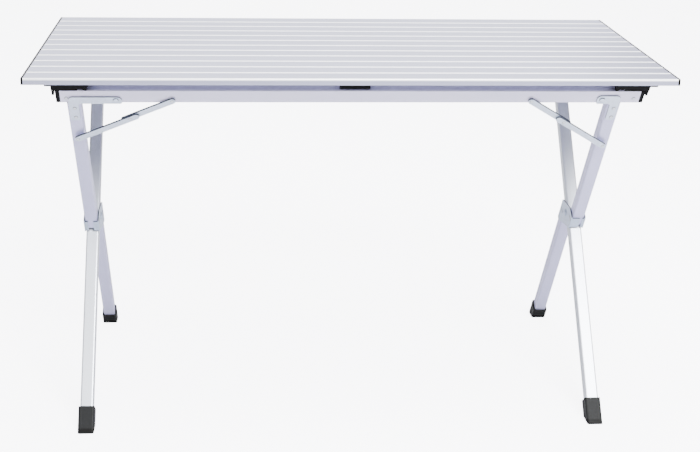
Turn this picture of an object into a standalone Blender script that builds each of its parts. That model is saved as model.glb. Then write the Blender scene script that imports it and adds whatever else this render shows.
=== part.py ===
"""Folding camping side table: a slatted roll-up aluminium top on two hinged leg frames.

X runs along the rails, Y from the front frame to the rear one, Z is up. Lengths are metres.
The origin is on the floor under the middle of the whole object. Both leg frames are drawn in
their own plane: local X along the rail, local Z up along the legs, and "outward" away from the
middle of the table. The two planes cross at the scissor axis.
"""
import math

import bmesh
import bpy
from mathutils import Matrix, Vector

# Tabletop
TOP_LENGTH = 1.200
TOP_DEPTH = 0.600
TOP_HEIGHT = 0.700
TOP_CENTRE_Y = 0.0061
SLAT_COUNT = 12
SLAT_PITCH = TOP_DEPTH / SLAT_COUNT
SLAT_THICKNESS = 0.012
SLAT_WALL = 0.0012
SLAT_ROUNDING = 0.0022
CROSS_BAR_X = (-0.420, -0.007, 0.400)
CROSS_BAR_WIDTH = 0.042
CROSS_BAR_THICKNESS = 0.010
CROSS_BAR_SLOPE = math.radians(30.0)
CROSS_BAR_END = 0.006
CROSS_BAR_LIP = 0.0012

# Scissor axis and the tilt of each leg frame from vertical
PIVOT_Y = 0.0001
PIVOT_Z = 0.344
FRONT_TILT = math.radians(33.5)
REAR_TILT = math.radians(39.7)

# Rails, legs and feet
RAIL_HALF_LENGTH = 0.537
RAIL_HEIGHT = 0.0325
RAIL_WALL = 0.0014
RAIL_TOP_DROP = 0.0036
LEG_X = {"left": -0.514, "right": 0.492}
LEG_SIZE = 0.025
LEG_WALL = 0.0012
LEG_ROUNDING = 0.0030
FRONT_LEG_OFFSET = 0.028
FRONT_LEG_END = 0.011
REAR_LEG_OFFSET = 0.0
FOOT_SIZE = 0.0315
FOOT_SLEEVE = 0.024
FOOT_SOLE = 0.006
END_PLUG_LENGTH = 0.0075

# Hardware
GAP = 0.0003
SHEET = 0.002
CORNER_RADIUS = 0.0035
BRACKET_REACH = {"left": (-0.009, 0.088), "right": (-0.036, 0.009)}
BRACKET_BOLT_X = {"left": 0.077, "right": -0.026}
BRACKET_HEIGHT = {"left": 0.017, "right": 0.021}
BRACKET_CORNER = 0.0085
BRACKET_BOLT_RISE = 0.56
BRACKET_TAB_WIDTH = 0.018
BRACKET_TAB_DROP = 0.045
BRACE_RAIL_X = {"left": 0.179, "right": -0.160}
BRACE_RAIL_RISE = 0.008
BRACE_LEG_DROP = {"left": 0.091, "right": 0.114}
BRACE_JOINT_AT = {"left": 0.44, "right": 0.44}
BRACE_WIDTH = 0.012
BRACE_DEPTH = 0.004
BRACE_WALL = 0.0012
BRACE_OVERLAP = 0.013
BOLT_RADIUS = 0.003
BOLT_HEAD_RADIUS = 0.0055
PIN_RADIUS = 0.004
PIN_HEAD_RADIUS = 0.0075
PLATE_GAP = 0.0006
PLATE_FLANGE = {
    "left": {"outer": 0.0085, "inner": 0.0110},
    "right": {"outer": 0.0065, "inner": 0.0190},
}
PLATE_FLANGE_BOTTOM = 0.0015
PLATE_FLANGE_TOP = 0.0365
PLATE_EAR_LOW = -0.066
FITTING_BODY_WIDTH = 0.064
FITTING_BODY_REACH = 0.0145
FITTING_PLATE_WIDTH = 0.078
FITTING_PLATE_REACH = 0.0225
FITTING_PLATE_THICKNESS = 0.003
FITTING_PRONG = 0.0042
FITTING_PRONG_DROP = 0.013
FITTING_PRONG_INSET = 0.001
FITTING_NOTCH = 0.0110
FITTING_NOTCH_AT = 0.0520
FITTING_NOTCH_HEIGHT = 0.0050
FITTING_LIP = {"front": 0.0135, "rear": 0.003}
SADDLE_WIDTH = 0.056
SADDLE_X = 0.0
SADDLE_SETBACK = 0.005

SEAT_Z = TOP_HEIGHT - SLAT_THICKNESS - GAP
TOP_FRONT_Y = TOP_CENTRE_Y - TOP_DEPTH / 2.0


def clear_scene():
    """Remove every object of the open scene."""
    for item in list(bpy.data.objects):
        bpy.data.objects.remove(item, do_unlink=True)


def collection(name):
    """Make a collection in the scene."""
    group = bpy.data.collections.new(name)
    bpy.context.scene.collection.children.link(group)
    return group


def principled(name, colour, roughness, metallic):
    """Make a plain material."""
    made = bpy.data.materials.new(name)
    made.use_nodes = True
    shader = made.node_tree.nodes["Principled BSDF"]
    shader.inputs["Base Color"].default_value = (*colour, 1.0)
    shader.inputs["Roughness"].default_value = roughness
    shader.inputs["Metallic"].default_value = metallic
    return made


clear_scene()
TABLE = collection("folding_side_table")
CUTTERS = collection("cutters")
SLAT_ALUMINIUM = principled("slat_aluminium", (0.62, 0.64, 0.68), 0.38, 0.9)
FRAME_ALUMINIUM = principled("frame_aluminium", (0.66, 0.65, 0.70), 0.42, 0.9)
ZINC_STEEL = principled("zinc_steel", (0.62, 0.68, 0.76), 0.32, 0.95)
BLACK_PLASTIC = principled("black_plastic", (0.012, 0.013, 0.014), 0.5, 0.0)
GREY_RUBBER = principled("foot_plastic", (0.05, 0.055, 0.053), 0.6, 0.0)


def empty(name, location, tilt):
    """A frame's own axes, turned about X."""
    made = bpy.data.objects.new(name, None)
    made.location = location
    made.rotation_euler = (tilt, 0.0, 0.0)
    TABLE.objects.link(made)
    return made


def place(name, mesh, parent, location, material=None):
    """Put a mesh in the table, or among the cutters when it has no material."""
    made = bpy.data.objects.new(name, mesh)
    made.parent = parent
    made.location = location
    if material is None:
        CUTTERS.objects.link(made)
        made.hide_render = True
        made.display_type = "WIRE"
    else:
        TABLE.objects.link(made)
        mesh.materials.append(material)
        mesh.shade_smooth()
        mesh.set_sharp_from_angle(angle=math.radians(30.0))
    return made


def combine(target, tool, operation="DIFFERENCE"):
    """Cut or join a helper solid."""
    modifier = target.modifiers.new(operation.lower(), "BOOLEAN")
    modifier.operation = operation
    modifier.solver = "EXACT"
    modifier.object = tool


def block(size, round_axis=None, radius=0.0, top_only=False):
    """A centred box, with the edges along one axis rounded."""
    mesh = bpy.data.meshes.new("block")
    shape = bmesh.new()
    bmesh.ops.create_cube(shape, size=1.0)
    bmesh.ops.scale(shape, vec=size, verts=shape.verts)
    if round_axis is not None:
        edges = []
        for edge in shape.edges:
            start, end = (corner.co for corner in edge.verts)
            along = abs(start[round_axis] - end[round_axis]) > 1e-6
            if along and (start.z > 0.0 or not top_only):
                edges.append(edge)
        bmesh.ops.bevel(shape, geom=edges, offset=radius, segments=3, profile=0.5, affect="EDGES")
    shape.to_mesh(mesh)
    shape.free()
    return mesh


def rounded(corners, radii, steps=4):
    """Round each corner of an outline, given anticlockwise, with its own radius."""
    points = []
    count = len(corners)
    for index, radius in enumerate(radii):
        corner = Vector(corners[index])
        before = (Vector(corners[index - 1]) - corner).normalized()
        after = (Vector(corners[(index + 1) % count]) - corner).normalized()
        half = before.angle(after) / 2.0
        start = corner + before * (radius / math.tan(half))
        end = corner + after * (radius / math.tan(half))
        centre = corner + (before + after).normalized() * (radius / math.sin(half))
        for step in range(steps + 1):
            part = step / steps
            chord = start.lerp(end, part) - centre
            points.append(tuple(centre + chord.normalized() * radius))
    return points


def flat_shape(outline, thickness, plane):
    """Extrude a flat outline, drawn in the XZ or the YZ plane, to both sides of that plane."""
    curve = bpy.data.curves.new("outline", "CURVE")
    curve.dimensions = "2D"
    curve.fill_mode = "BOTH"
    curve.extrude = thickness / 2.0
    spline = curve.splines.new("POLY")
    spline.points.add(len(outline) - 1)
    for point, (first, second) in zip(spline.points, outline):
        point.co = (first, second, 0.0, 1.0)
    spline.use_cyclic_u = True
    drawn = bpy.data.objects.new("outline", curve)
    CUTTERS.objects.link(drawn)
    bpy.context.view_layer.update()
    mesh = bpy.data.meshes.new_from_object(drawn.evaluated_get(bpy.context.evaluated_depsgraph_get()))
    bpy.data.objects.remove(drawn, do_unlink=True)
    turn = Matrix(((1, 0, 0), (0, 0, -1), (0, 1, 0)))
    if plane == "YZ":
        turn = Matrix(((0, 0, 1), (1, 0, 0), (0, 1, 0)))
    mesh.transform(turn.to_4x4())
    mesh.materials.clear()
    shape = bmesh.new()
    shape.from_mesh(mesh)
    bmesh.ops.remove_doubles(shape, verts=shape.verts, dist=1e-6)
    bmesh.ops.recalc_face_normals(shape, faces=shape.faces)
    shape.to_mesh(mesh)
    shape.free()
    return mesh


def cylinder(radius, length, axis):
    """A centred round bar along X or Y."""
    mesh = bpy.data.meshes.new("cylinder")
    shape = bmesh.new()
    bmesh.ops.create_cone(
        shape, cap_ends=True, segments=20, radius1=radius, radius2=radius, depth=length
    )
    turn = Matrix.Rotation(math.radians(90.0), 3, "Y" if axis == "X" else "X")
    bmesh.ops.rotate(shape, matrix=turn, verts=shape.verts)
    shape.to_mesh(mesh)
    shape.free()
    return mesh


def turned(name, profile, parent, location, direction, material):
    """Turn a profile of (radius, height) points, listed top to bottom, about its own axis."""
    mesh = bpy.data.meshes.new(name)
    shape = bmesh.new()
    corners = [shape.verts.new((radius, 0.0, height)) for radius, height in profile]
    for first, second in zip(corners, corners[1:]):
        shape.edges.new((first, second))
    shape.to_mesh(mesh)
    shape.free()
    made = place(name, mesh, parent, location, material)
    made.rotation_euler = Vector((0.0, 0.0, 1.0)).rotation_difference(Vector(direction)).to_euler()
    screw = made.modifiers.new("turn", "SCREW")
    screw.axis = "Z"
    screw.steps = 20
    screw.render_steps = 20
    screw.use_merge_vertices = True
    screw.merge_threshold = 1e-5
    screw.use_smooth_shade = True
    return made


class LegFrame:
    """One rail with everything fixed to it, drawn in the plane of its legs.

    `outer` is the sign of local Y that points outward, and a position's height runs along the
    legs from the scissor axis.
    """

    def __init__(self, name, tilt, outer, leg_offset):
        self.name = name
        self.tilt = tilt
        self.outer = outer
        self.leg_offset = leg_offset
        self.axes = empty(name + "_axes", (0.0, PIVOT_Y, PIVOT_Z), -outer * tilt)
        self.face = leg_offset + LEG_SIZE / 2.0
        inner = leg_offset - LEG_SIZE / 2.0
        self.rail_top = self.height_at(SEAT_Z + GAP - RAIL_TOP_DROP, inner)
        self.rail_bottom = self.rail_top - RAIL_HEIGHT

    def height_at(self, level, outward):
        """Height along the legs where a plane `outward` of the axis meets a level."""
        return (level - PIVOT_Z + outward * math.sin(self.tilt)) / math.cos(self.tilt)

    def put(self, name, mesh, x, outward, height, material=None):
        """Place a mesh in the frame's plane."""
        return place(name, mesh, self.axes, (x, self.outer * outward, height), material)

    def outline(self, points):
        """Turn (outward, height) points into an anticlockwise YZ outline."""
        turned_points = [(self.outer * outward, height) for outward, height in points]
        return turned_points if self.outer > 0 else turned_points[::-1]

    def tube(self, name, x, offset, low, high):
        """A hollow square leg tube with open ends."""
        length = high - low
        middle = (high + low) / 2.0
        size = (LEG_SIZE, LEG_SIZE, length)
        bore = LEG_SIZE - 2.0 * LEG_WALL
        leg = self.put(name, block(size, 2, LEG_ROUNDING), x, offset, middle, FRAME_ALUMINIUM)
        inside = block((bore, bore, length + 0.02), 2, LEG_ROUNDING - LEG_WALL)
        combine(leg, self.put(name + "_bore", inside, x, offset, middle))
        return leg

    def rail(self):
        """The long rectangular rail with open ends, drilled for its two bracket bolts."""
        name = self.name + "_rail"
        middle = (self.rail_top + self.rail_bottom) / 2.0
        length = 2.0 * RAIL_HALF_LENGTH
        size = (length, LEG_SIZE, RAIL_HEIGHT)
        rail = self.put(name, block(size, 0, LEG_ROUNDING), 0.0, self.leg_offset, middle, FRAME_ALUMINIUM)
        bore = (length + 0.02, LEG_SIZE - 2.0 * RAIL_WALL, RAIL_HEIGHT - 2.0 * RAIL_WALL)
        inside = block(bore, 0, LEG_ROUNDING - RAIL_WALL)
        combine(rail, self.put(name + "_bore", inside, 0.0, self.leg_offset, middle))
        for side, leg_x in LEG_X.items():
            hole = cylinder(BOLT_RADIUS + GAP, 0.008, "Y")
            x = leg_x + BRACKET_BOLT_X[side]
            combine(rail, self.put(name + "_hole_" + side, hole, x, self.face, self.bolt_height(side)))
            self.end_plug(side, middle)

    def bolt_height(self, side):
        """Height of a bracket's bolt: the middle of the bracket's plate."""
        return self.rail_bottom + BRACKET_HEIGHT[side] * BRACKET_BOLT_RISE

    def end_plug(self, side, middle):
        """Plastic plug over a rail's end."""
        mesh = block((END_PLUG_LENGTH, LEG_SIZE, RAIL_HEIGHT), 0, LEG_ROUNDING)
        reach = RAIL_HALF_LENGTH + GAP + END_PLUG_LENGTH / 2.0
        x = -reach if side == "left" else reach
        self.put(self.name + "_rail_plug_" + side, mesh, x, self.leg_offset, middle, BLACK_PLASTIC)

    def bracket(self, side):
        """Steel plate over the rail's outer face, with a tab riveted down the leg."""
        leg_x = LEG_X[side]
        left, right = (leg_x + reach for reach in BRACKET_REACH[side])
        bottom = self.rail_bottom + GAP
        top = bottom + BRACKET_HEIGHT[side]
        tab = BRACKET_TAB_WIDTH / 2.0
        low = bottom - BRACKET_TAB_DROP
        tab_left = max(leg_x - tab, left)
        tab_right = min(leg_x + tab, right)
        corners = [(left, bottom), (tab_left, bottom)] if tab_left > left + 0.001 else []
        corners += [(tab_left, low), (tab_right, low)]
        if tab_right < right - 0.001:
            corners += [(tab_right, bottom), (right, bottom)]
        radii = [CORNER_RADIUS] * len(corners) + [BRACKET_CORNER] * 2
        corners += [(right, top), (left, top)]
        name = self.name + "_bracket_" + side
        mesh = flat_shape(rounded(corners, radii), SHEET, "XZ")
        outward = self.face + GAP + SHEET / 2.0
        plate = self.put(name, mesh, 0.0, outward, 0.0, ZINC_STEEL)
        x = leg_x + BRACKET_BOLT_X[side]
        height = self.bolt_height(side)
        hole = cylinder(BOLT_RADIUS + GAP, 0.008, "Y")
        combine(plate, self.put(name + "_hole", hole, x, outward, height))
        head = self.face + 2.0 * GAP + SHEET
        profile = [
            (0.0, 0.0026),
            (0.0030, 0.0024),
            (0.0048, 0.0015),
            (BOLT_HEAD_RADIUS, 0.0),
            (BOLT_RADIUS, 0.0),
            (BOLT_RADIUS, -0.012),
            (0.0, -0.012),
        ]
        location = (x, self.outer * head, height)
        direction = (0.0, self.outer, 0.0)
        name = self.name + "_bolt_" + side
        turned(name, profile, self.axes, location, direction, ZINC_STEEL)

    def strut(self, name, start, end, outward):
        """A pressed steel strut: a shallow tray with round ends, open toward the frame."""
        start, end = Vector(start), Vector(end)
        along = end - start
        length = along.length
        turn = -math.atan2(along.y, along.x)
        middle = (start + end) / 2.0
        shells = []
        for width, depth in ((BRACE_WIDTH, BRACE_DEPTH), (BRACE_WIDTH - 2.0 * BRACE_WALL, BRACE_DEPTH)):
            half = width / 2.0
            reach = length / 2.0 + half
            corners = [(-reach, -half), (reach, -half), (reach, half), (-reach, half)]
            shells.append(flat_shape(rounded(corners, [half * 0.98] * 4, 6), depth, "XZ"))
        outer_shell = self.put(name, shells[0], middle.x, outward, middle.y, ZINC_STEEL)
        inner_shell = self.put(name + "_tray", shells[1], middle.x, outward - BRACE_WALL, middle.y)
        outer_shell.rotation_euler = (0.0, turn, 0.0)
        inner_shell.rotation_euler = (0.0, turn, 0.0)
        combine(outer_shell, inner_shell)

    def brace(self, side):
        """Folding brace from the rail to the leg: two struts that overlap at the middle joint."""
        leg_x = LEG_X[side]
        rail_end = Vector((leg_x + BRACE_RAIL_X[side], self.rail_bottom + BRACE_RAIL_RISE))
        leg_end = Vector((leg_x, self.rail_bottom - BRACE_LEG_DROP[side]))
        along = (leg_end - rail_end).normalized()
        joint = rail_end.lerp(leg_end, BRACE_JOINT_AT[side])
        near = self.face + GAP + BRACE_DEPTH / 2.0
        far = near + BRACE_DEPTH + GAP
        name = self.name + "_brace_"
        self.strut(name + "rail_" + side, rail_end, joint + along * BRACE_OVERLAP, near)
        self.strut(name + "leg_" + side, joint - along * BRACE_OVERLAP, leg_end, far)

    def seat(self, name, x, width, setback=0.0):
        """Wedge that fills the tilted rail's top face up to the level of the slats."""
        inner = self.leg_offset - LEG_SIZE / 2.0 + setback
        outer = self.face - setback
        floor = self.rail_top + GAP
        points = [
            (inner, floor),
            (outer, floor),
            (outer, self.height_at(SEAT_Z, outer)),
            (inner, self.height_at(SEAT_Z, inner)),
        ]
        mesh = flat_shape(self.outline(points), width, "YZ")
        return self.put(name, mesh, x, 0.0, 0.0, BLACK_PLASTIC)

    def corner_fitting(self, side):
        """Black corner seat: a notched wedge under a wide thin plate, with a prong past the rail."""
        sign = -1.0 if side == "left" else 1.0
        name = self.name + "_corner_fitting_" + side
        x = sign * (RAIL_HALF_LENGTH + FITTING_BODY_REACH - FITTING_BODY_WIDTH / 2.0)
        body = self.seat(name, x, FITTING_BODY_WIDTH)
        inner = self.leg_offset - LEG_SIZE / 2.0 + 0.001
        outer = self.face + FITTING_LIP[self.name]
        lower = SEAT_Z - FITTING_PLATE_THICKNESS
        points = [
            (inner, self.height_at(lower, inner)),
            (outer, self.height_at(lower, outer)),
            (outer, self.height_at(SEAT_Z, outer)),
            (inner, self.height_at(SEAT_Z, inner)),
        ]
        mesh = flat_shape(self.outline(points), FITTING_PLATE_WIDTH, "YZ")
        plate_x = sign * (RAIL_HALF_LENGTH + FITTING_PLATE_REACH - FITTING_PLATE_WIDTH / 2.0)
        combine(body, self.put(name + "_plate", mesh, plate_x, 0.0, 0.0), "UNION")
        end = RAIL_HALF_LENGTH + FITTING_BODY_REACH
        floor = self.rail_top + GAP
        inset = FITTING_PRONG_INSET
        size = (FITTING_PRONG, LEG_SIZE - 2.0 * inset, FITTING_PRONG_DROP + 2.0 * inset)
        prong = block(size)
        prong_x = sign * (end - GAP - FITTING_PRONG / 2.0)
        height = floor + inset - FITTING_PRONG_DROP / 2.0
        combine(body, self.put(name + "_prong", prong, prong_x, self.leg_offset, height), "UNION")
        notch = block((FITTING_NOTCH, LEG_SIZE / 2.0, 2.0 * FITTING_NOTCH_HEIGHT))
        combine(body, self.put(name + "_notch", notch, sign * (end - FITTING_NOTCH_AT), self.face, floor))

    def foot(self, name, x, offset, tube_end):
        """Plastic foot: a square sleeve over the tube's end, cut flat at the floor."""
        low = tube_end - 0.040
        high = tube_end + FOOT_SLEEVE
        size = (FOOT_SIZE, FOOT_SIZE, high - low)
        foot = self.put(name, block(size, 2, 0.004), x, offset, (high + low) / 2.0, GREY_RUBBER)
        bore = LEG_SIZE + 2.0 * GAP
        bottom = tube_end - GAP
        socket = block((bore, bore, 0.08), 2, LEG_ROUNDING)
        combine(foot, self.put(name + "_socket", socket, x, offset, bottom + 0.04))
        floor = place(name + "_floor", block((0.2, 0.4, 0.2)), None, (x, self.floor_y(offset), -0.1))
        combine(foot, floor)

    def floor_y(self, offset):
        """Where the plane of a leg meets the floor."""
        height = self.height_at(0.0, offset)
        return PIVOT_Y + self.outer * (height * math.sin(self.tilt) + offset * math.cos(self.tilt))

    def rail_group(self):
        """Everything that a rail carries."""
        self.rail()
        for side in LEG_X:
            self.bracket(side)
            self.brace(side)
            self.corner_fitting(side)
        self.seat(self.name + "_centre_seat", SADDLE_X, SADDLE_WIDTH, SADDLE_SETBACK)

    def crossing_plate(self, side, face):
        """Side plate that joins the two halves of a front leg past the rear leg."""
        sign = -1.0 if face == "outer" else 1.0
        sign *= 1.0 if side == "left" else -1.0
        name = self.name + "_crossing_plate_" + side + "_" + face
        front = self.face + SHEET + GAP
        near = FRONT_LEG_OFFSET - LEG_SIZE / 2.0
        rear = -self.face + LEG_ROUNDING
        points = [
            (front, PLATE_FLANGE_BOTTOM),
            (front, PLATE_FLANGE_TOP),
            (near, PLATE_FLANGE_TOP),
            (rear, -PLATE_FLANGE_BOTTOM),
            (rear, PLATE_EAR_LOW),
        ]
        outline = self.outline(points[::-1])
        mesh = flat_shape(rounded(outline, [CORNER_RADIUS] * len(outline)), SHEET, "YZ")
        x = LEG_X[side] + sign * (LEG_SIZE / 2.0 + PLATE_GAP + SHEET / 2.0)
        plate = self.put(name, mesh, x, 0.0, 0.0, ZINC_STEEL)
        width = PLATE_FLANGE[side][face]
        strip = block((width, SHEET, PLATE_FLANGE_TOP - PLATE_FLANGE_BOTTOM - 2.0 * CORNER_RADIUS))
        strip_x = LEG_X[side] + sign * (LEG_SIZE / 2.0 + PLATE_GAP + SHEET - width / 2.0)
        height = (PLATE_FLANGE_TOP + PLATE_FLANGE_BOTTOM) / 2.0
        tool = self.put(name + "_flange", strip, strip_x, front - SHEET / 2.0, height)
        combine(plate, tool, "UNION")
        hole = cylinder(PIN_RADIUS + GAP, 0.012, "X")
        combine(plate, self.put(name + "_hole", hole, x, 0.0, 0.0))

    def crossing_pin(self, side):
        """Rivet on the scissor axis, through both side plates and the rear leg."""
        reach = LEG_SIZE / 2.0 + PLATE_GAP + SHEET + GAP
        profile = [
            (0.0, reach + 0.0024),
            (0.0045, reach + 0.0021),
            (PIN_HEAD_RADIUS, reach + 0.0004),
            (PIN_HEAD_RADIUS, reach),
            (PIN_RADIUS, reach),
            (PIN_RADIUS, -reach),
            (PIN_HEAD_RADIUS, -reach),
            (PIN_HEAD_RADIUS, -reach - 0.0004),
            (0.0045, -reach - 0.0021),
            (0.0, -reach - 0.0024),
        ]
        name = "crossing_pin_" + side
        turned(name, profile, self.axes, (LEG_X[side], 0.0, 0.0), (1.0, 0.0, 0.0), ZINC_STEEL)


def rear_frame():
    """Rear rail and its one-piece legs, which run down to the front feet."""
    frame = LegFrame("rear", REAR_TILT, 1.0, REAR_LEG_OFFSET)
    frame.rail_group()
    tube_end = frame.height_at(FOOT_SOLE, LEG_SIZE / 2.0)
    for side, x in LEG_X.items():
        leg = frame.tube("rear_leg_" + side, x, REAR_LEG_OFFSET, tube_end, frame.rail_bottom - GAP)
        hole = cylinder(PIN_RADIUS + 0.0004, 0.05, "X")
        combine(leg, frame.put("rear_leg_hole_" + side, hole, x, 0.0, 0.0))
        frame.foot("front_foot_" + side, x, REAR_LEG_OFFSET, tube_end)


def front_frame():
    """Front rail and its two-part legs, which step past the rear legs at the crossing."""
    frame = LegFrame("front", FRONT_TILT, -1.0, FRONT_LEG_OFFSET)
    frame.rail_group()
    inner_face = -FRONT_LEG_OFFSET + LEG_SIZE / 2.0
    tube_end = frame.height_at(FOOT_SOLE, inner_face)
    for side, x in LEG_X.items():
        name = "front_leg_upper_" + side
        frame.tube(name, x, FRONT_LEG_OFFSET, FRONT_LEG_END, frame.rail_bottom - GAP)
        frame.tube("front_leg_lower_" + side, x, -FRONT_LEG_OFFSET, tube_end, -FRONT_LEG_END)
        frame.foot("rear_foot_" + side, x, -FRONT_LEG_OFFSET, tube_end)
        frame.crossing_plate(side, "outer")
        frame.crossing_plate(side, "inner")
        frame.crossing_pin(side)


def slat_mesh():
    """Inverted channel whose origin is its rear top edge, where it hinges on the next slat."""
    size = (TOP_LENGTH, SLAT_PITCH - GAP, SLAT_THICKNESS)
    mesh = block(size, 0, SLAT_ROUNDING, top_only=True)
    mesh.transform(Matrix.Translation((0.0, -SLAT_PITCH / 2.0, -SLAT_THICKNESS / 2.0)))
    return mesh


def slat_hollow():
    """The open underside of a slat."""
    depth = SLAT_PITCH - GAP - 2.0 * SLAT_WALL
    mesh = block((TOP_LENGTH + 0.02, depth, SLAT_THICKNESS), 0, SLAT_ROUNDING - SLAT_WALL, top_only=True)
    mesh.transform(Matrix.Translation((0.0, -SLAT_PITCH / 2.0, -SLAT_THICKNESS / 2.0 - SLAT_WALL)))
    return mesh


def tabletop():
    """Twelve slats, each hung on the one behind it, and three cross bars under them."""
    behind = None
    for number in range(SLAT_COUNT, 0, -1):
        name = "slat_{:02d}".format(number)
        if behind is None:
            location = (0.0, TOP_FRONT_Y + TOP_DEPTH, TOP_HEIGHT)
        else:
            location = (0.0, -SLAT_PITCH, 0.0)
        slat = place(name, slat_mesh(), behind, location, SLAT_ALUMINIUM)
        combine(slat, place(name + "_hollow", slat_hollow(), slat, (0.0, 0.0, 0.0)))
        behind = slat
    cross_bars()


def rail_corner(tilt, outer, leg_offset):
    """Y of a rail's highest corner, on its inner side."""
    inner = leg_offset - LEG_SIZE / 2.0
    level = SEAT_Z + GAP - RAIL_TOP_DROP
    height = (level - PIVOT_Z + inner * math.sin(tilt)) / math.cos(tilt)
    return PIVOT_Y + outer * (height * math.sin(tilt) + inner * math.cos(tilt))


def cross_bars():
    """Flat bars whose sloped ends rest on the rails' inner top edges."""
    top = SEAT_Z
    bottom = top - CROSS_BAR_THICKNESS
    rest = top - RAIL_TOP_DROP + 2.5 * GAP
    slope = math.tan(CROSS_BAR_SLOPE)
    front = rail_corner(FRONT_TILT, -1.0, FRONT_LEG_OFFSET)
    rear = rail_corner(REAR_TILT, 1.0, REAR_LEG_OFFSET)
    tip = (top - CROSS_BAR_LIP - rest) / slope
    toe = (rest - bottom) / slope
    points = [
        (front + toe, bottom),
        (rear - toe, bottom),
        (rear + tip, top - CROSS_BAR_LIP),
        (rear + tip, top),
        (front - tip, top),
        (front - tip, top - CROSS_BAR_LIP),
    ]
    for x, place_name in zip(CROSS_BAR_X, ("left", "centre", "right")):
        name = "cross_bar_" + place_name
        mesh = flat_shape(points, CROSS_BAR_WIDTH, "YZ")
        bar = place(name, mesh, None, (x, 0.0, 0.0), FRAME_ALUMINIUM)
        length = rear - front - 2.0 * (toe + CROSS_BAR_END)
        hollow = block((CROSS_BAR_WIDTH - 2.0 * SLAT_WALL, length, CROSS_BAR_THICKNESS))
        middle = (x, (front + rear) / 2.0, bottom - SLAT_WALL + CROSS_BAR_THICKNESS / 2.0)
        combine(bar, place(name + "_hollow", hollow, None, middle))


rear_frame()
front_frame()
tabletop()
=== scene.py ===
"""Finished look of the folding camping table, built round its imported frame."""

import math

import bmesh
import bpy
from mathutils import Matrix, Vector


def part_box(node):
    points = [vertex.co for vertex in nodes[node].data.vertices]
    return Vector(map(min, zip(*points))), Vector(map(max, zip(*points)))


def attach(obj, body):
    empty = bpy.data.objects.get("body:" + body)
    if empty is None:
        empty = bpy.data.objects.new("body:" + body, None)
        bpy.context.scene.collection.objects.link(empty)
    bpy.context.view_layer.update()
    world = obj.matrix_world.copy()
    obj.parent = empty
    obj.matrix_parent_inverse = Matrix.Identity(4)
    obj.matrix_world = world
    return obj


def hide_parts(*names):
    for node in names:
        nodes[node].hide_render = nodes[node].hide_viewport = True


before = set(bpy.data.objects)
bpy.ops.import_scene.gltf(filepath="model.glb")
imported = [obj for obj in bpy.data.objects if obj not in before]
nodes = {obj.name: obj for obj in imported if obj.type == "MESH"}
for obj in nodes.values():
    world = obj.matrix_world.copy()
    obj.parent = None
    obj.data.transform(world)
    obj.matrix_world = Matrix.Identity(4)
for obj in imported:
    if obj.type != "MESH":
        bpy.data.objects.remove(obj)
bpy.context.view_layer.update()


# Square leg tubes and rectangular rails.
# Thin extruded aluminium, anodised, with faint die lines along each tube. Each leg frame
# leans its own way from the scissor axis, so the lines are turned with it.
SIDES = ("left", "right")
FRAME_NAMES = ("front", "rear")
FRONT_TILT = math.radians(33.5)
REAR_TILT = math.radians(39.7)
ALONG_X, ALONG_Y, ALONG_Z = 0, 1, 2
LEG_ALUMINIUM = (0.575, 0.570, 0.810)
REAR_LEG_ALUMINIUM = (0.610, 0.640, 0.700)
RAIL_ALUMINIUM = (0.700, 0.680, 0.860)
TUBE_METALLIC = 0.60
TUBE_ROUGHNESS = 0.30
TUBE_DARK = 0.93
TUBE_LIGHT = 1.06
TUBE_CLOUD_SCALE = 7.0
TUBE_LINE_SHARE = 0.35
DIE_LINE_WIDTH = 0.0011
DIE_LINE_LENGTH = 0.45
DIE_LINE_GLOSS = 0.08
DIE_LINE_RELIEF = 0.6
CLOUD_GLOSS = 0.05
GRAIN_SCALE = 1400.0
GRAIN_STRENGTH = 0.10
GRAIN_DEPTH = 0.0003


class Value:
    """One output of a material's nodes, which can take part in sums."""

    def __init__(self, finish, socket):
        self.finish = finish
        self.socket = socket

    def sum(self, operation, first, second):
        return self.finish.get("ShaderNodeMath", {"operation": operation}, {0: first, 1: second})

    def __add__(self, other):
        return self.sum("ADD", self, other)

    def __sub__(self, other):
        return self.sum("SUBTRACT", self, other)

    def __rsub__(self, other):
        return self.sum("SUBTRACT", other, self)

    def __mul__(self, other):
        return self.sum("MULTIPLY", self, other)

    __radd__ = __add__
    __rmul__ = __mul__


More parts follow.
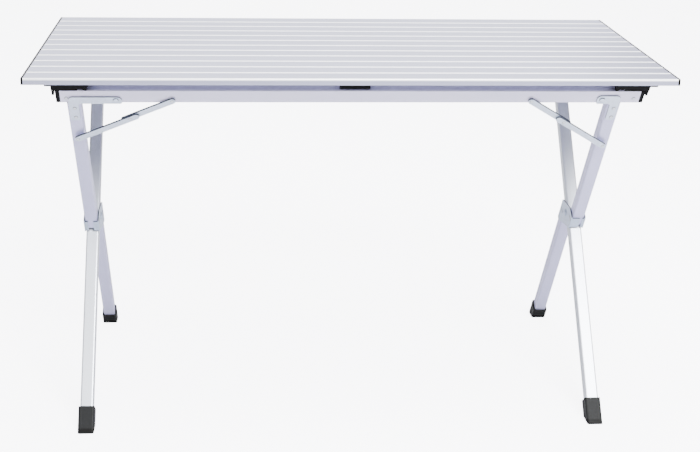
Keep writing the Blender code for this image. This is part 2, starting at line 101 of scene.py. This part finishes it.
class Finish:
    """One material and the nodes that paint it."""

    def __init__(self, name):
        self.material = bpy.data.materials.new(name)
        self.material.use_nodes = True
        self.tree = self.material.node_tree
        self.shader = self.tree.nodes["Principled BSDF"]

    def feed(self, socket, value):
        """Link a value to a socket, or set a plain number or colour on it."""
        if isinstance(value, Value):
            self.tree.links.new(value.socket, socket)
        else:
            socket.default_value = value

    def get(self, kind, settings, inputs, output=0):
        """Add a node: its settings first, then its inputs, and return one output."""
        node = self.tree.nodes.new(kind)
        for key, value in settings.items():
            setattr(node, key, value)
        for key, value in inputs.items():
            self.feed(node.inputs[key], value)
        return Value(self, node.outputs[output])

    def place(self):
        """Place on the piece, in metres from the table's origin."""
        return self.get("ShaderNodeTexCoord", {}, {}, "Object")

    def axis(self, place, letter):
        return self.get("ShaderNodeSeparateXYZ", {}, {"Vector": place}, letter)

    def noise(self, place, scale, detail):
        return self.get("ShaderNodeTexNoise", {}, {"Vector": place, "Scale": scale, "Detail": detail})

    def die_lines(self, place, along, turn=0.0):
        """Long faint lines along one axis, after a turn about X."""
        size = [DIE_LINE_WIDTH] * 3
        size[along] = DIE_LINE_LENGTH
        inputs = {"Vector": place, "Rotation": (turn, 0.0, 0.0), "Scale": size}
        stretched = self.get("ShaderNodeMapping", {"vector_type": "TEXTURE"}, inputs)
        return self.noise(stretched, 1.0, 3.0)

    def fade(self, value, start, end, before, after):
        """Level that goes from before to after while the value goes from start to end."""
        inputs = {0: value, 1: start, 2: end, 3: before, 4: after}
        return self.get("ShaderNodeMapRange", {}, inputs)

    def blend(self, mask, first, second):
        """Colour that goes from first to second with a mask."""
        inputs = {0: mask}
        for key, colour in ((6, first), (7, second)):
            inputs[key] = colour if isinstance(colour, Value) else (*colour, 1.0)
        return self.get("ShaderNodeMix", {"data_type": "RGBA"}, inputs, 2)

    def bump(self, height, strength, distance):
        inputs = {"Height": height, "Strength": strength, "Distance": distance}
        return self.get("ShaderNodeBump", {}, inputs, "Normal")

    def coat(self, **sockets):
        """Set or feed the shader's sockets and return the finished material."""
        for name, value in sockets.items():
            self.feed(self.shader.inputs[name.replace("_", " ")], value)
        return self.material


def tint(colour, strength):
    """A colour made lighter or darker."""
    return tuple(part * strength for part in colour)


def shared(first, second, share):
    """Two levels added up, the first with a share of the whole."""
    return first * share + second * (1.0 - share)


def anodised(name, colour, along, turn=0.0):
    """Extruded anodised aluminium with die lines along one axis."""
    finish = Finish(name)
    place = finish.place()
    lines = finish.die_lines(place, along, turn)
    cloud = finish.noise(place, TUBE_CLOUD_SCALE, 4.0)
    grain = finish.noise(place, GRAIN_SCALE, 1.0)
    tone = shared(lines, cloud, TUBE_LINE_SHARE)
    relief = shared(lines, grain, DIE_LINE_RELIEF)
    return finish.coat(
        Base_Color=finish.blend(tone, tint(colour, TUBE_DARK), tint(colour, TUBE_LIGHT)),
        Metallic=TUBE_METALLIC,
        Roughness=lines * DIE_LINE_GLOSS + cloud * CLOUD_GLOSS + TUBE_ROUGHNESS,
        Normal=finish.bump(relief, GRAIN_STRENGTH, GRAIN_DEPTH),
    )


def dress(node, material):
    """Give a node of the frame its finish."""
    mesh = nodes[node].data
    mesh.materials.clear()
    mesh.materials.append(material)


front_leg_finish = anodised("front_leg_anodised", LEG_ALUMINIUM, ALONG_Z, FRONT_TILT)
rear_leg_finish = anodised("rear_leg_anodised", REAR_LEG_ALUMINIUM, ALONG_Z, -REAR_TILT)
rail_finish = anodised("rail_anodised", RAIL_ALUMINIUM, ALONG_X)
for side in SIDES:
    dress("front_leg_upper_" + side, front_leg_finish)
    dress("front_leg_lower_" + side, front_leg_finish)
    dress("rear_leg_" + side, rear_leg_finish)
for name in FRAME_NAMES:
    dress(name + "_rail", rail_finish)


# Brackets, folding braces, crossing plates, bolts and pins.
# Pressed steel sheet, bright zinc plated with a cool blue cast and a soft cloudy spangle.
# Faces that turn away from the sheet's flat, its edges most of all, get a near-black painted shade.
ZINC = (0.660, 0.735, 0.880)
# Painted shade: a darker copy of the zinc, for the crossing plates and pins that sit in shadow.
SHADED_PLATE_ZINC = (0.500, 0.575, 0.720)
# Colour of the painted shade on faces that turn away from the sheet's flat.
EDGE_PAINTED_SHADE = (0.055, 0.062, 0.078)
SHADED_EDGE_FACING = 0.55
FLAT_FACING = 0.82
ZINC_DARK = 0.80
ZINC_LIGHT = 1.12
ZINC_METALLIC = 0.70
ZINC_ROUGHNESS = 0.23
PLATE_ROUGHNESS = 0.25
SPANGLE_SCALE = 260.0
SPANGLE_SHARE = 0.30
ZINC_CLOUD_SCALE = 38.0
ZINC_CLOUD_GLOSS = 0.14
RUBBED_SCALE = 620.0
RUBBED_GLOSS = 0.08
RUBBED_STRENGTH = 0.08
RUBBED_DEPTH = 0.0002
SIDEWAYS = Vector((1.0, 0.0, 0.0))


def outward_of(tilt, outer):
    """Direction that a leg frame's outer face looks in."""
    return Vector((0.0, outer * math.cos(tilt), -math.sin(tilt)))


def zinc_plate(name, colour, roughness, flats):
    """Zinc plated sheet whose faces look in the directions of flats, with painted shade on the faces
    that turn away from them.
    """
    finish = Finish(name)
    place = finish.place()
    spangle_inputs = {"Vector": place, "Scale": SPANGLE_SCALE}
    spangle = finish.get("ShaderNodeTexVoronoi", {"feature": "F1"}, spangle_inputs, "Color")
    cell = finish.get("ShaderNodeSeparateColor", {}, {"Color": spangle})
    cloud = finish.noise(place, ZINC_CLOUD_SCALE, 4.0)
    rub_and_highlight = finish.noise(place, RUBBED_SCALE, 2.0)
    tone = shared(cell, cloud, SPANGLE_SHARE)
    plated = finish.blend(tone, tint(colour, ZINC_DARK), tint(colour, ZINC_LIGHT))
    facing = 0.0
    for flat in flats:
        looks = {0: finish.get("ShaderNodeNewGeometry", {}, {}, "Normal"), 1: flat}
        level = finish.get("ShaderNodeVectorMath", {"operation": "DOT_PRODUCT"}, looks, "Value")
        level = finish.get("ShaderNodeMath", {"operation": "ABSOLUTE"}, {0: level})
        facing = finish.get("ShaderNodeMath", {"operation": "MAXIMUM"}, {0: level, 1: facing})
    # Painted shade: faces that turn away from every flat, such as sheet edges and rivet rims, fade to
    # near black.
    face = finish.fade(facing, SHADED_EDGE_FACING, FLAT_FACING, 0.0, 1.0)
    return finish.coat(
        Base_Color=finish.blend(face, EDGE_PAINTED_SHADE, plated),
        Metallic=ZINC_METALLIC,
        Roughness=cloud * ZINC_CLOUD_GLOSS + rub_and_highlight * RUBBED_GLOSS + roughness,
        Normal=finish.bump(rub_and_highlight, RUBBED_STRENGTH, RUBBED_DEPTH),
    )


FRONT_OUTWARD = outward_of(FRONT_TILT, -1.0)
REAR_OUTWARD = outward_of(REAR_TILT, 1.0)
for name, outward in (("front", FRONT_OUTWARD), ("rear", REAR_OUTWARD)):
    zinc_finish = zinc_plate(name + "_zinc_sheet", ZINC, ZINC_ROUGHNESS, [outward])
    for side in SIDES:
        for part in ("bracket", "bolt", "brace_rail", "brace_leg"):
            dress("_".join((name, part, side)), zinc_finish)
# The crossing plates and pins get the darker zinc, painted shade on the same plating.
plate_flats = [SIDEWAYS, FRONT_OUTWARD]
shaded_plate_finish = zinc_plate("crossing_shaded_zinc_sheet", SHADED_PLATE_ZINC, PLATE_ROUGHNESS, plate_flats)
for side in SIDES:
    dress("crossing_pin_" + side, shaded_plate_finish)
    for face in ("outer", "inner"):
        dress("front_crossing_plate_" + side + "_" + face, shaded_plate_finish)


# Rivets of the braces, the bracket tabs, the rail ends and the crossing plates.
# Domed steel heads pressed down on the sheet or the rail. The braces turn on theirs, and the
# others hold the sheet or an end plug in place.
RIVET_STEEL = (0.66, 0.70, 0.76)
BRACE_RIVET = {"radius": 0.0034, "height": 0.0014}
TAB_RIVET = {"radius": 0.0037, "height": 0.0019}
RAIL_RIVET = {"radius": 0.0036, "height": 0.0018}
PLATE_RIVET = {"radius": 0.0030, "height": 0.0012}
RIVET_SIDES = 20
RIVET_RINGS = 10
SHARP_ANGLE = 40.0
SCISSOR_AXIS = Vector((0.0, 0.0001, 0.344))
LEG_X = {"left": -0.514, "right": 0.492}
LEG_FRAMES = {
    "front": {"tilt": FRONT_TILT, "outer": -1.0, "face": 0.0405, "rail_bottom": 0.38597},
    "rear": {"tilt": REAR_TILT, "outer": 1.0, "face": 0.0125, "rail_bottom": 0.39955},
}
BRACE_ENDS = {"left": (0.179, 0.091), "right": (-0.160, 0.114)}
BRACE_RISE = 0.008
BRACE_JOINT_AT = 0.44
STRUT_DEPTH = 0.0043
TAB_SHEET = 0.0023
TAB_RIVET_SHIFT = 0.001
TAB_RIVET_DROPS = (0.012, 0.036)
RAIL_HALF_LENGTH = 0.537
RAIL_RIVET_INSET = 0.011
RAIL_RIVET_RISE = 0.013
PLATE_FACE = 0.0151
PLATE_RIVET_PLACES = ((0.022, 0.028), (-0.022, -0.028), (0.022, 0.036), (-0.022, -0.020))


def in_frame(leg_frame, x, outward, height):
    """A point of a leg frame's own plane, in the table's axes."""
    sine = math.sin(leg_frame["tilt"])
    cosine = math.cos(leg_frame["tilt"])
    along = leg_frame["outer"] * (height * sine + outward * cosine)
    return SCISSOR_AXIS + Vector((x, along, height * cosine - outward * sine))


def linked(verts, kind):
    """The edges or faces that meet a list of vertices, each of them once."""
    return list(dict.fromkeys(item for vert in verts for item in getattr(vert, kind)))


def rivet(shape, centre, direction, radius, height):
    """Domed head standing on a face: the upper half of a ball, closed and pressed flat."""
    ball = bmesh.ops.create_uvsphere(
        shape, u_segments=RIVET_SIDES, v_segments=RIVET_RINGS, radius=1.0
    )["verts"]
    cut = bmesh.ops.bisect_plane(
        shape,
        geom=ball + linked(ball, "link_edges") + linked(ball, "link_faces"),
        plane_co=(0.0, 0.0, 0.0),
        plane_no=(0.0, 0.0, 1.0),
        clear_inner=True,
    )
    rim = [item for item in cut["geom_cut"] if isinstance(item, bmesh.types.BMEdge)]
    bmesh.ops.edgeloop_fill(shape, edges=rim)
    head = [item for item in cut["geom"] if isinstance(item, bmesh.types.BMVert) and item.is_valid]
    head = list(dict.fromkeys(head + [vert for edge in rim for vert in edge.verts]))
    bmesh.ops.scale(shape, vec=(radius, radius, height), verts=head)
    turn = Vector((0.0, 0.0, 1.0)).rotation_difference(direction).to_matrix()
    bmesh.ops.rotate(shape, matrix=turn, verts=head)
    bmesh.ops.translate(shape, vec=centre, verts=head)


def finish_piece(name, shape, material, body, angle=SHARP_ANGLE):
    """Turn a bmesh into a piece that rides on a body, with edges over the angle sharp."""
    bmesh.ops.recalc_face_normals(shape, faces=shape.faces)
    mesh = bpy.data.meshes.new(name)
    shape.to_mesh(mesh)
    shape.free()
    mesh.materials.append(material)
    mesh.shade_smooth()
    mesh.set_sharp_from_angle(angle=math.radians(angle))
    made = bpy.data.objects.new(name, mesh)
    bpy.context.scene.collection.objects.link(made)
    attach(made, body)
    return made


for name, leg_frame in LEG_FRAMES.items():
    body = name + "_frame"
    face = leg_frame["face"]
    bottom = leg_frame["rail_bottom"]
    outward = outward_of(leg_frame["tilt"], leg_frame["outer"])
    # This finish paints shade round the rim of each rivet dome.
    rivet_finish = zinc_plate(name + "_rivet_steel", RIVET_STEEL, ZINC_ROUGHNESS, [outward])

    shape = bmesh.new()
    for side, x in LEG_X.items():
        reach, drop = BRACE_ENDS[side]
        rail_end = Vector((x + reach, bottom + BRACE_RISE))
        leg_end = Vector((x, bottom - drop))
        joint = rail_end.lerp(leg_end, BRACE_JOINT_AT)
        for place, layers in ((rail_end, 1), (joint, 2), (leg_end, 2)):
            centre = in_frame(leg_frame, place.x, face + layers * STRUT_DEPTH, place.y)
            rivet(shape, centre, outward, **BRACE_RIVET)
    finish_piece(name + "_brace_rivets", shape, rivet_finish, body)

    shape = bmesh.new()
    for x in LEG_X.values():
        for drop in TAB_RIVET_DROPS:
            centre = in_frame(leg_frame, x + TAB_RIVET_SHIFT, face + TAB_SHEET, bottom - drop)
            rivet(shape, centre, outward, **TAB_RIVET)
    finish_piece(name + "_bracket_rivets", shape, rivet_finish, body)

    shape = bmesh.new()
    for way in (-1.0, 1.0):
        x = way * (RAIL_HALF_LENGTH - RAIL_RIVET_INSET)
        centre = in_frame(leg_frame, x, face, bottom + RAIL_RIVET_RISE)
        rivet(shape, centre, outward, **RAIL_RIVET)
    finish_piece(name + "_rail_rivets", shape, rivet_finish, body)

shape = bmesh.new()
for x in LEG_X.values():
    for way in (-1.0, 1.0):
        for height, outward_step in PLATE_RIVET_PLACES:
            centre = in_frame(LEG_FRAMES["front"], x + way * PLATE_FACE, outward_step, height)
            rivet(shape, centre, way * SIDEWAYS, **PLATE_RIVET)
# This finish paints shade round the rim of each rivet dome.
side_rivet_finish = zinc_plate("side_rivet_steel", RIVET_STEEL, ZINC_ROUGHNESS, [SIDEWAYS])
finish_piece("crossing_plate_rivets", shape, side_rivet_finish, "front_frame")


# Corner fittings, centre seats and rail end plugs.
# Black nylon mouldings with a fine eggshell surface, pushed on and into the rails. The corner
# fittings' wedges level the leaning rails up to the flat top.
NYLON_BLACK = (0.002, 0.002, 0.003)
NYLON_WORN = (0.006, 0.006, 0.007)
NYLON_ROUGHNESS = 0.38
NYLON_SPECULAR = 0.05
NYLON_CLOUD_SCALE = 45.0
NYLON_CLOUD_GLOSS = 0.16
EGGSHELL_SCALE = 900.0
EGGSHELL_STRENGTH = 0.18
EGGSHELL_DEPTH = 0.0002


def moulded(name):
    """Black moulded nylon, a little paler where it is worn."""
    finish = Finish(name)
    place = finish.place()
    eggshell = finish.noise(place, EGGSHELL_SCALE, 2.0)
    cloud = finish.noise(place, NYLON_CLOUD_SCALE, 3.0)
    return finish.coat(
        Base_Color=finish.blend(cloud, NYLON_BLACK, NYLON_WORN),
        Roughness=cloud * NYLON_CLOUD_GLOSS + NYLON_ROUGHNESS,
        Specular_IOR_Level=NYLON_SPECULAR,
        Normal=finish.bump(eggshell, EGGSHELL_STRENGTH, EGGSHELL_DEPTH),
    )


nylon_finish = moulded("black_nylon")
for name in FRAME_NAMES:
    dress(name + "_centre_seat", nylon_finish)
    for side in SIDES:
        dress(name + "_corner_fitting_" + side, nylon_finish)
        dress(name + "_rail_plug_" + side, nylon_finish)


# Feet.
# Grey-black plastic sleeves over the tube ends, cut flat for the ground, with a darker
# scuffed band just above the sole.
FOOT_GREY = (0.011, 0.0115, 0.012)
FOOT_SCUFFED = (0.002, 0.002, 0.002)
FOOT_ROUGHNESS = 0.42
FOOT_SPECULAR = 0.08
SCUFF_HEIGHT = 0.0085
SCUFF_END = 0.0115
SCUFF_WAVE = 0.004
SCUFF_SHARE = 0.9
SPECKLE_SCALE = 260.0
SPECKLE_GLOSS = 0.20
FOOT_GRAIN_SCALE = 1000.0
FOOT_GRAIN_STRENGTH = 0.20
FOOT_GRAIN_DEPTH = 0.0002


def foot_plastic(name):
    """Grey-black plastic with a ragged dark band that ends just above the ground."""
    finish = Finish(name)
    place = finish.place()
    height = finish.axis(place, "Z")
    speckle = finish.noise(place, SPECKLE_SCALE, 4.0)
    scuffed = finish.fade(height + speckle * SCUFF_WAVE, SCUFF_HEIGHT, SCUFF_END, 1.0, 0.0)
    grain = finish.noise(place, FOOT_GRAIN_SCALE, 2.0)
    return finish.coat(
        Base_Color=finish.blend(shared(scuffed, speckle, SCUFF_SHARE), FOOT_GREY, FOOT_SCUFFED),
        Roughness=speckle * SPECKLE_GLOSS + FOOT_ROUGHNESS,
        Specular_IOR_Level=FOOT_SPECULAR,
        Normal=finish.bump(grain, FOOT_GRAIN_STRENGTH, FOOT_GRAIN_DEPTH),
    )


foot_finish = foot_plastic("foot_plastic")
for name in FRAME_NAMES:
    for side in SIDES:
        dress(name + "_foot_" + side, foot_finish)


# Cross bars under the slats.
# Three pressed aluminium channels, anodised like the rails, whose sloped ends rest on the
# rails' inner edges and hold the top level.
bar_finish = anodised("cross_bar_anodised", RAIL_ALUMINIUM, ALONG_Y)
for place_name in ("left", "centre", "right"):
    dress("cross_bar_" + place_name, bar_finish)


# The twelve slats of the roll-up top.
# Each is an inverted extruded channel with rounded long edges and two shallow grooves just
# inside them. The thin bright line beside each joint, where the rounded edges catch the light, is a
# painted highlight.
SLAT_COUNT = 12
SLAT_LENGTH = 1.1920
SLAT_PITCH = 0.05
SLAT_WALL = 0.0012
SLAT_EDGE = 0.0022
GROOVE_IN = 0.0052
GROOVE_WIDTH = 0.0009
GROOVE_DEPTH = 0.0005
SLAT_ALUMINIUM = (0.385, 0.395, 0.530)
# Colour of the painted highlight along the slats' upper edges.
SLAT_PAINTED_HIGHLIGHT = (0.930, 0.935, 0.960)
SLAT_DARK = 0.88
SLAT_LIGHT = 1.12
SLAT_METALLIC = 0.62
EDGE_METALLIC_LOSS = 0.35
SLAT_ROUGHNESS = 0.32
SLAT_CLOUD_SCALE = 6.0
SLAT_LINE_SHARE = 0.45
EDGE_BAND = 0.0034
EDGE_FADE = 0.0012
EDGE_WAVE = 0.0009
BRIGHT_FROM = 0.0045
BRIGHT_FULL = 0.0025
EDGE_STEPS = 5
SLAT_SHARP_ANGLE = 25.0
FACING_OUT = 0.9
TOUCHING = 1e-6


def slat_anodised(name, front_edge, top):
    """Anodised slat face, with a painted highlight: a bright band along its long upper edges."""
    finish = Finish(name)
    place = finish.place()
    lines = finish.die_lines(place, ALONG_X)
    cloud = finish.noise(place, SLAT_CLOUD_SCALE, 4.0)
    grain = finish.noise(place, GRAIN_SCALE, 1.0)
    across = finish.axis(place, "Y") - front_edge
    half_pitch = {0: across, 1: SLAT_PITCH / 2.0}
    from_joint = finish.get("ShaderNodeMath", {"operation": "PINGPONG"}, half_pitch)
    # Distance from the nearest joint, made wavy, which bounds the painted highlight.
    rub_and_highlight = from_joint + lines * EDGE_WAVE
    highlight_band = finish.fade(rub_and_highlight, EDGE_BAND, EDGE_BAND + EDGE_FADE, 1.0, 0.0)
    upper = finish.fade(finish.axis(place, "Z"), top - BRIGHT_FROM, top - BRIGHT_FULL, 0.0, 1.0)
    # Painted highlight: the band beside each joint, on the slat's upper edges only.
    edge = highlight_band * upper
    tone = shared(lines, cloud, SLAT_LINE_SHARE)
    relief = shared(lines, grain, DIE_LINE_RELIEF)
    dark = tint(SLAT_ALUMINIUM, SLAT_DARK)
    light = tint(SLAT_ALUMINIUM, SLAT_LIGHT)
    field = finish.blend(tone, dark, light)
    # The painted highlight gets a near-white colour and less metal.
    return finish.coat(
        Base_Color=finish.blend(edge, field, SLAT_PAINTED_HIGHLIGHT),
        Metallic=SLAT_METALLIC - edge * EDGE_METALLIC_LOSS,
        Roughness=lines * DIE_LINE_GLOSS + cloud * CLOUD_GLOSS + SLAT_ROUGHNESS,
        Normal=finish.bump(relief, GRAIN_STRENGTH, GRAIN_DEPTH),
    )


def slat_name(number):
    return "slat_{:02d}".format(number)


def slat_body(number):
    """The rear slat belongs to the top's base, and each of the others is a leaf."""
    return "top_base" if number == SLAT_COUNT else "top_leaf_{:02d}".format(number)


first_low, first_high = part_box(slat_name(1))
slat_finish = slat_anodised("slat_anodised", first_low.y, first_high.z)
for number in range(1, SLAT_COUNT + 1):
    low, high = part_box(slat_name(number))
    size = high - low
    half_depth = size.y / 2.0
    shape = bmesh.new()
    bmesh.ops.create_cube(shape, size=1.0)
    bmesh.ops.scale(shape, vec=(SLAT_LENGTH, size.y, size.z), verts=shape.verts)

    groove_bed = []
    for way in (-1.0, 1.0):
        for step in (0.0, GROOVE_WIDTH / 2.0, GROOVE_WIDTH):
            y = way * (half_depth - GROOVE_IN - step)
            bmesh.ops.bisect_plane(
                shape,
                geom=shape.verts[:] + shape.edges[:] + shape.faces[:],
                plane_co=(0.0, y, 0.0),
                plane_no=(0.0, 1.0, 0.0),
            )
            if step == GROOVE_WIDTH / 2.0:
                upper_verts = [vert for vert in shape.verts if vert.co.z > 0.0]
                groove_bed += [vert for vert in upper_verts if abs(vert.co.y - y) < TOUCHING]

    underside = [face for face in shape.faces if face.normal.z < -FACING_OUT]
    ends = [face for face in shape.faces if abs(face.normal.x) > FACING_OUT]
    bmesh.ops.delete(shape, geom=underside + ends, context="FACES")
    bmesh.ops.translate(shape, vec=(0.0, 0.0, -GROOVE_DEPTH), verts=groove_bed)
    upper_edges = [edge for edge in shape.edges if all(vert.co.z > 0.0 for vert in edge.verts)]
    long_edges = [
        edge
        for edge in upper_edges
        if all(abs(abs(vert.co.y) - half_depth) < TOUCHING for vert in edge.verts)
    ]
    bmesh.ops.bevel(
        shape,
        geom=long_edges,
        offset=SLAT_EDGE,
        segments=EDGE_STEPS,
        profile=0.5,
        affect="EDGES",
        material=-1,
    )
    bmesh.ops.recalc_face_normals(shape, faces=shape.faces)
    if sum(face.normal.z for face in shape.faces) < 0.0:
        bmesh.ops.reverse_faces(shape, faces=shape.faces)
    bmesh.ops.solidify(shape, geom=shape.faces[:], thickness=SLAT_WALL)
    bmesh.ops.translate(shape, vec=(low + high) / 2.0, verts=shape.verts)
    slat = finish_piece(
        slat_name(number) + "_channel",
        shape,
        slat_finish,
        slat_body(number),
        SLAT_SHARP_ANGLE,
    )
    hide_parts(slat_name(number))


# End caps of the slats.
# Thin black nylon plugs pressed into both open ends of each slat, with a rounded flange
# that covers the cut edge.
CAP_FLANGE = 0.0040
CAP_EDGE_STEPS = 4
PLUG_LENGTH = 0.010
PLUG_STEP = 0.0002
PLUG_GAP = 0.0006

for number in range(1, SLAT_COUNT + 1):
    low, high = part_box(slat_name(number))
    middle = (low + high) / 2.0
    size = high - low
    shape = bmesh.new()
    for way in (-1.0, 1.0):
        flange = bmesh.ops.create_cube(shape, size=1.0)["verts"]
        bmesh.ops.scale(shape, vec=(CAP_FLANGE, size.y, size.z), verts=flange)
        upper_edges = [
            edge
            for edge in linked(flange, "link_edges")
            if all(vert.co.z > 0.0 for vert in edge.verts)
        ]
        corner_edges = [
            edge for edge in upper_edges if abs(edge.verts[0].co.x - edge.verts[1].co.x) > TOUCHING
        ]
        rounded = bmesh.ops.bevel(
            shape,
            geom=corner_edges,
            offset=SLAT_EDGE,
            segments=CAP_EDGE_STEPS,
            profile=0.5,
            affect="EDGES",
            material=-1,
        )
        kept = [vert for vert in flange if vert.is_valid]
        flange = list(dict.fromkeys(list(rounded["verts"]) + kept))
        x = way * (high.x - CAP_FLANGE / 2.0)
        bmesh.ops.translate(shape, vec=(x, middle.y, middle.z), verts=flange)

        plug = bmesh.ops.create_cube(shape, size=1.0)["verts"]
        plug_depth = size.y - 2.0 * SLAT_WALL - PLUG_GAP
        plug_height = size.z - SLAT_WALL - 2.0 * PLUG_GAP
        bmesh.ops.scale(shape, vec=(PLUG_LENGTH, plug_depth, plug_height), verts=plug)
        x = way * (high.x - CAP_FLANGE - PLUG_STEP - PLUG_LENGTH / 2.0)
        z = low.z + PLUG_GAP + plug_height / 2.0
        bmesh.ops.translate(shape, vec=(x, middle.y, z), verts=plug)
    name = slat_name(number) + "_end_caps"
    finish_piece(name, shape, nylon_finish, slat_body(number))


# Floor, lights and camera.
# A white studio floor that glows for itself alone, three soft boxes in front, above and
# behind, and a long lens at chest height, a little left of the middle.
FLOOR_REACH = 30.0
FLOOR_GREY = (0.50, 0.50, 0.53, 1.0)
FLOOR_WHITE = (0.97, 0.97, 1.0, 1.0)
FLOOR_ROUGHNESS = 0.9
FLOOR_GLOW = 7.0
SURROUND_WHITE = (1.0, 1.0, 1.0, 1.0)
SURROUND_STRENGTH = 0.5
SOFT_BOXES = {
    "key": {"place": (0.9, -2.6, 3.0), "aim": (0.0, 0.0, 0.3), "size": 1.8, "power": 540.0},
    "overhead": {"place": (0.2, 0.2, 4.2), "aim": (0.0, 0.0, 0.6), "size": 3.0, "power": 240.0},
    "back": {"place": (0.0, 6.5, 3.0), "aim": (0.0, 0.0, 0.6), "size": 5.0, "power": 230.0},
}
CAMERA_PLACE = (-0.2122, -2.7083, 1.2534)
CAMERA_YAW = 0.0848
CAMERA_PITCH = 0.3318
CAMERA_ROLL = -0.0208
CAMERA_LENS = 70.24
CAMERA_SENSOR = 36.0
CAMERA_CLIP = 100.0

floor_shape = bmesh.new()
bmesh.ops.create_grid(floor_shape, x_segments=1, y_segments=1, size=FLOOR_REACH)
floor_mesh = bpy.data.meshes.new("floor")
floor_shape.to_mesh(floor_mesh)
floor_shape.free()
floor = bpy.data.objects.new("floor", floor_mesh)
bpy.context.scene.collection.objects.link(floor)
floor_finish = Finish("pale_floor").coat(
    Base_Color=FLOOR_GREY,
    Roughness=FLOOR_ROUGHNESS,
    Emission_Color=FLOOR_WHITE,
    Emission_Strength=FLOOR_GLOW,
)
floor_mesh.materials.append(floor_finish)
lit_by_floor = bpy.data.collections.new("lit_by_floor")
lit_by_floor.objects.link(floor)
floor.light_linking.receiver_collection = lit_by_floor

world = bpy.data.worlds.new("studio")
bpy.context.scene.world = world
world.use_nodes = True
surround = world.node_tree.nodes["Background"]
surround.inputs["Color"].default_value = SURROUND_WHITE
surround.inputs["Strength"].default_value = SURROUND_STRENGTH


def soft_box(name, place, aim, size, power):
    """A square light that points at the table."""
    data = bpy.data.lights.new(name, "AREA")
    data.shape = "SQUARE"
    data.size = size
    data.energy = power
    made = bpy.data.objects.new(name, data)
    made.location = place
    made.rotation_euler = (Vector(aim) - Vector(place)).to_track_quat("-Z", "Y").to_euler()
    bpy.context.scene.collection.objects.link(made)


for name, settings in SOFT_BOXES.items():
    soft_box(name, **settings)

level_reach = math.cos(CAMERA_PITCH)
forward = Vector(
    (
        math.sin(CAMERA_YAW) * level_reach,
        math.cos(CAMERA_YAW) * level_reach,
        -math.sin(CAMERA_PITCH),
    )
)
level = Vector((math.cos(CAMERA_YAW), -math.sin(CAMERA_YAW), 0.0))
down = forward.cross(level)
right = math.cos(CAMERA_ROLL) * level + math.sin(CAMERA_ROLL) * down
below = math.cos(CAMERA_ROLL) * down - math.sin(CAMERA_ROLL) * level
camera_data = bpy.data.cameras.new("camera")
camera_data.lens = CAMERA_LENS
camera_data.sensor_width = CAMERA_SENSOR
camera_data.clip_end = CAMERA_CLIP
camera = bpy.data.objects.new("camera", camera_data)
turn = Matrix((right, -below, -forward)).transposed().to_4x4()
camera.matrix_world = Matrix.Translation(CAMERA_PLACE) @ turn
bpy.context.scene.collection.objects.link(camera)
bpy.context.scene.camera = camera
